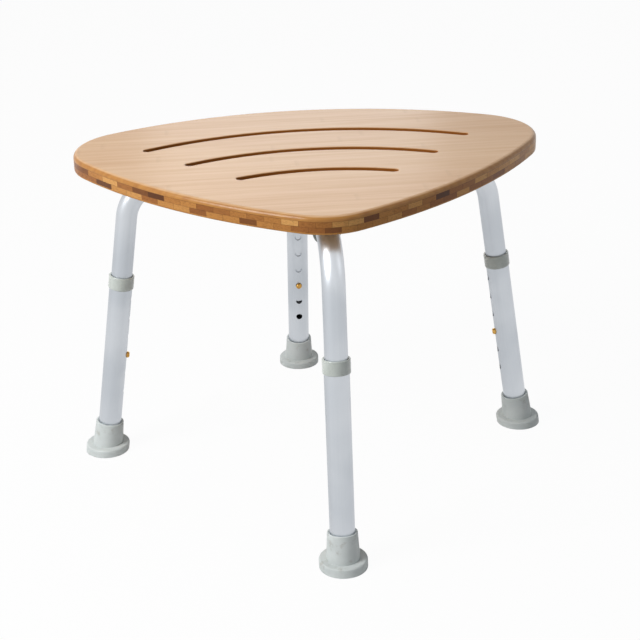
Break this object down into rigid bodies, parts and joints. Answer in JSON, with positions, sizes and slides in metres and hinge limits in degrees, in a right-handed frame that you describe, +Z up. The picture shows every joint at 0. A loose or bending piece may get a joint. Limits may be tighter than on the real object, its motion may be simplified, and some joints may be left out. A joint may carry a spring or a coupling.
{
  "type": "corner shower stool",
  "caption": "Rounded triangular bamboo shower stool with curved drain slots on splayed telescopic aluminium legs with snap buttons and rubber feet.",
  "frame": {"origin": "on the floor, midway between the front and rear feet", "axes": "+Z up; -Y towards the seat's narrow corner; +X to the right seen from that corner"},
  "size_m": [0.586, 0.586, 0.39],
  "materials": {
    "bamboo": "satin",
    "tube": "satin",
    "fitting": "gloss",
    "foot_rubber": "matte",
    "button_brass": "polished",
    "screw": "satin"
  },
  "bodies": {
    "stool_frame": {"seat_board": "bamboo", "bracket_screws": "screw", "tube_lock_screws": "screw", "leg_bracket_front": "fitting", "leg_bracket_rear": "fitting", "leg_bracket_left": "fitting", "leg_bracket_right": "fitting", "upper_tube_front": "tube", "upper_tube_rear": "tube", "upper_tube_left": "tube", "upper_tube_right": "tube"},
    "lower_leg_front": {"lower_tube_front": "tube", "collar_front": "fitting", "foot_front": "foot_rubber", "foot_washer_front": "screw"},
    "button_front": {"snap_clip_front": "button_brass"},
    "lower_leg_rear": {"lower_tube_rear": "tube", "collar_rear": "fitting", "foot_rear": "foot_rubber", "foot_washer_rear": "screw"},
    "button_rear": {"snap_clip_rear": "button_brass"},
    "lower_leg_left": {"lower_tube_left": "tube", "collar_left": "fitting", "foot_left": "foot_rubber", "foot_washer_left": "screw"},
    "button_left": {"snap_clip_left": "button_brass"},
    "lower_leg_right": {"lower_tube_right": "tube", "collar_right": "fitting", "foot_right": "foot_rubber", "foot_washer_right": "screw"},
    "button_right": {"snap_clip_right": "button_brass"}
  },
  "joints": [
    {"name": "leg_slide_front", "type": "slide", "parent": "stool_frame", "child": "lower_leg_front", "axis": [0, -0.1478, -0.989], "range_m": [-0.05, 0.075], "deforming": ["snap_clip_front"]},
    {"name": "button_press_front", "type": "slide", "parent": "stool_frame", "child": "button_front", "axis": [0, -0.989, 0.1478], "range_m": [0, 0.005], "stiffness_N_per_m": 4000, "deforming": ["snap_clip_front"]},
    {"name": "leg_slide_rear", "type": "slide", "parent": "stool_frame", "child": "lower_leg_rear", "axis": [0, 0.1478, -0.989], "range_m": [-0.05, 0.075], "deforming": ["snap_clip_rear"]},
    {"name": "button_press_rear", "type": "slide", "parent": "stool_frame", "child": "button_rear", "axis": [0, 0.989, 0.1478], "range_m": [0, 0.005], "stiffness_N_per_m": 4000, "deforming": ["snap_clip_rear"]},
    {"name": "leg_slide_left", "type": "slide", "parent": "stool_frame", "child": "lower_leg_left", "axis": [-0.1478, 0, -0.989], "range_m": [-0.05, 0.075], "deforming": ["snap_clip_left"]},
    {"name": "button_press_left", "type": "slide", "parent": "stool_frame", "child": "button_left", "axis": [-0.989, 0, 0.1478], "range_m": [0, 0.005], "stiffness_N_per_m": 4000, "deforming": ["snap_clip_left"]},
    {"name": "leg_slide_right", "type": "slide", "parent": "stool_frame", "child": "lower_leg_right", "axis": [0.1478, 0, -0.989], "range_m": [-0.05, 0.075], "deforming": ["snap_clip_right"]},
    {"name": "button_press_right", "type": "slide", "parent": "stool_frame", "child": "button_right", "axis": [0.989, 0, 0.1478], "range_m": [0, 0.005], "stiffness_N_per_m": 4000, "deforming": ["snap_clip_right"]}
  ]
}
